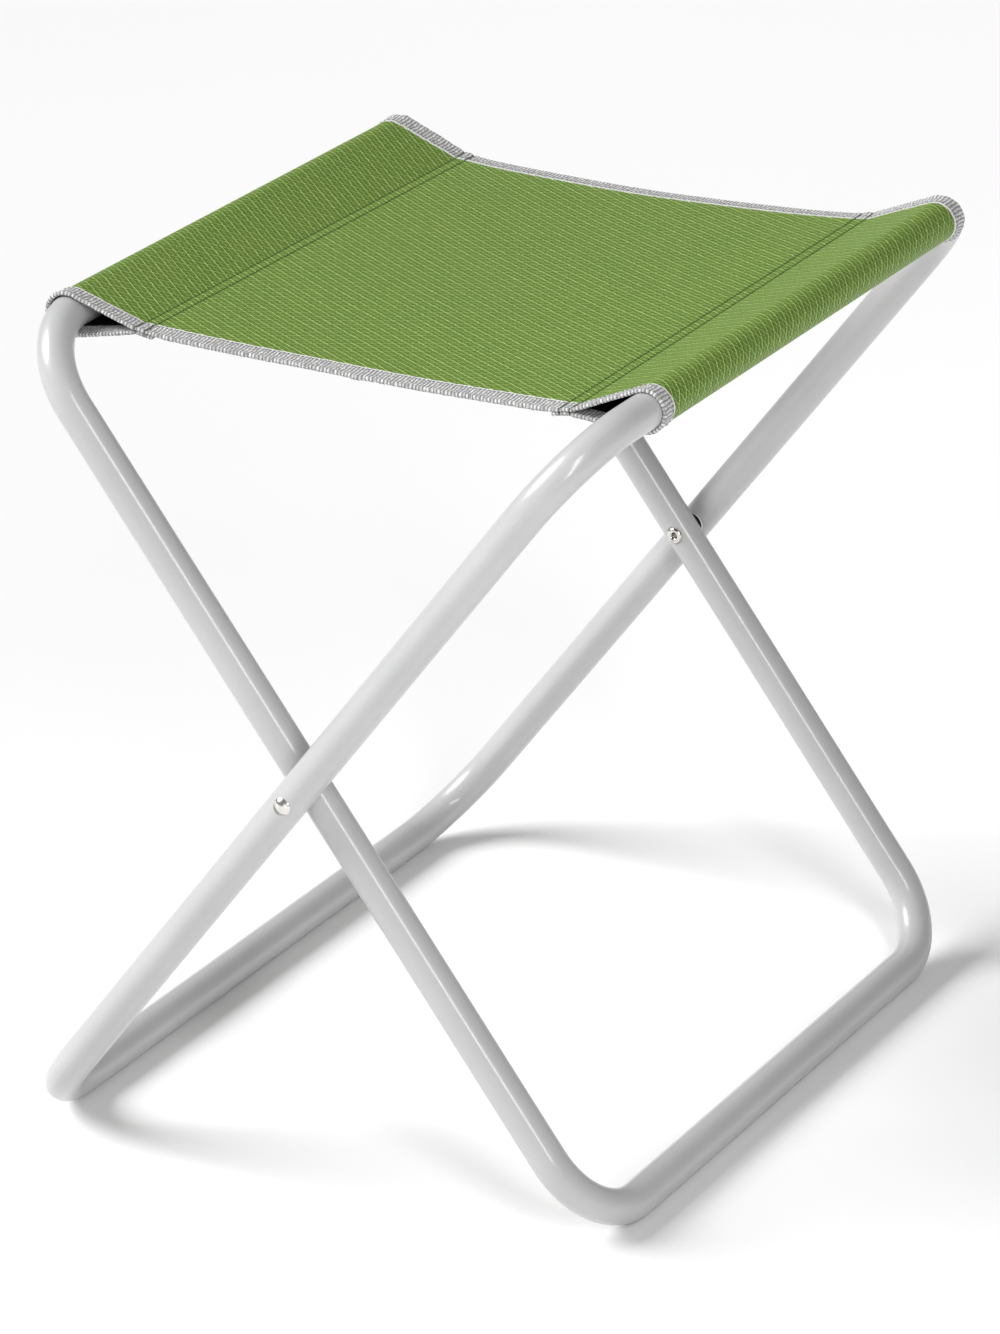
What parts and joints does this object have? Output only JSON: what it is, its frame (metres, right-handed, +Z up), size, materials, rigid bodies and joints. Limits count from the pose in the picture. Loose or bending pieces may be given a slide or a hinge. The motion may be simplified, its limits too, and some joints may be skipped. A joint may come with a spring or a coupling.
{
  "type": "folding camp stool",
  "caption": "Folding camp stool: two looped steel tube frames crossed on rivets, with a green cloth seat sewn round the two top rails and grey bound edges.",
  "frame": {"origin": "on the floor, midway between the two seat rails and midway along them", "axes": "+Z up, Y along the seat rails with -Y the near end, +X from the left rail (narrow frame) to the right rail (wide frame)"},
  "size_m": [0.3536, 0.4584, 0.4506],
  "materials": {
    "frame_paint": "gloss light grey powder coat",
    "zinc_steel": "zinc-plated steel",
    "rivet_nickel": "bright nickel plate",
    "washer_steel": "blackened steel washer with its rim worn bright",
    "seat_cloth": "green ripstop polyester, dark coated back",
    "binding_tape": "grey ribbed grosgrain tape",
    "green_thread": "dark green polyester thread",
    "grey_thread": "charcoal polyester thread"
  },
  "bodies": {
    "outer_frame": {"outer_frame_tube": "frame_paint", "outer_rail_joiner": "zinc_steel", "near_pivot_rivet": "rivet_nickel", "far_pivot_rivet": "rivet_nickel", "near_pivot_spacer": "washer_steel", "far_pivot_spacer": "washer_steel"},
    "inner_frame": {"inner_frame_tube": "frame_paint", "inner_rail_joiner": "zinc_steel"},
    "seat_right": {"seat_cloth_right": "seat_cloth", "near_binding_right": "binding_tape", "far_binding_right": "binding_tape", "sleeve_seam_thread_right": "green_thread", "near_binding_thread_right": "grey_thread", "far_binding_thread_right": "grey_thread"},
    "seat_left": {"seat_cloth_left": "seat_cloth", "near_binding_left": "binding_tape", "far_binding_left": "binding_tape", "sleeve_seam_thread_left": "green_thread", "near_binding_thread_left": "grey_thread", "far_binding_thread_left": "grey_thread"}
  },
  "joints": [
    {"name": "fold", "type": "hinge", "parent": "outer_frame", "child": "inner_frame", "pos_m": [0, 0, 0.22237], "axis": [0, 1, 0], "range_deg": [0, 69.19]},
    {"name": "seat_right_swing", "type": "hinge", "parent": "outer_frame", "child": "seat_right", "pos_m": [0.162, 0, 0.43523], "axis": [0, 1, 0], "range_deg": [-48.6, 0], "deforming": ["seat_cloth_right", "near_binding_right", "far_binding_right", "sleeve_seam_thread_right", "near_binding_thread_right", "far_binding_thread_right"]},
    {"name": "seat_left_swing", "type": "hinge", "parent": "inner_frame", "child": "seat_left", "pos_m": [-0.162, 0, 0.43523], "axis": [0, 1, 0], "range_deg": [0, 48.6], "deforming": ["seat_cloth_left", "near_binding_left", "far_binding_left", "sleeve_seam_thread_left", "near_binding_thread_left", "far_binding_thread_left"]}
  ],
  "couplings": [
    {"joint": "seat_right_swing", "follows": "fold", "ratio": -0.70227},
    {"joint": "seat_left_swing", "follows": "fold", "ratio": 0.70227}
  ]
}
